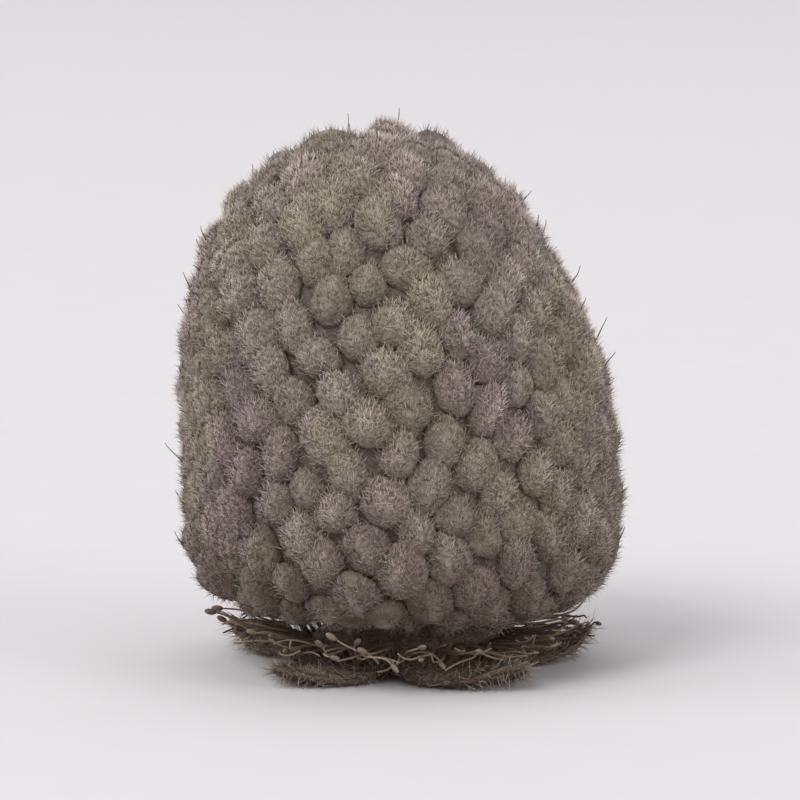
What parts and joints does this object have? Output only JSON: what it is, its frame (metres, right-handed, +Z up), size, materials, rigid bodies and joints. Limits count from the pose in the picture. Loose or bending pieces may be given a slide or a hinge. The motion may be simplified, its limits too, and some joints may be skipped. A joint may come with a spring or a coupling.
{
  "type": "dried raspberry",
  "caption": "Whole dried unripe raspberry, an egg-shaped head of small downy drupelets standing on its calyx with a stub of stalk.",
  "frame": {"origin": "on the surface that the berry stands on, under the middle of its bounding box", "axes": "+Z up through the tip of the berry, -Y towards the viewer of the picture, +X to the viewer's right"},
  "size_m": [0.0108, 0.0106, 0.013],
  "materials": {
    "drupelets": "dry grey-brown fruit skin with olive and purple-brown patches, under short pale down",
    "calyx": "thin, papery, reddish-brown dried sepals with a matted pale down",
    "stalk": "dry brown stem with a frayed fibrous end"
  },
  "bodies": {
    "root": {"drupelets": "drupelets", "calyx": "calyx", "stalk": "stalk"}
  },
  "joints": []
}
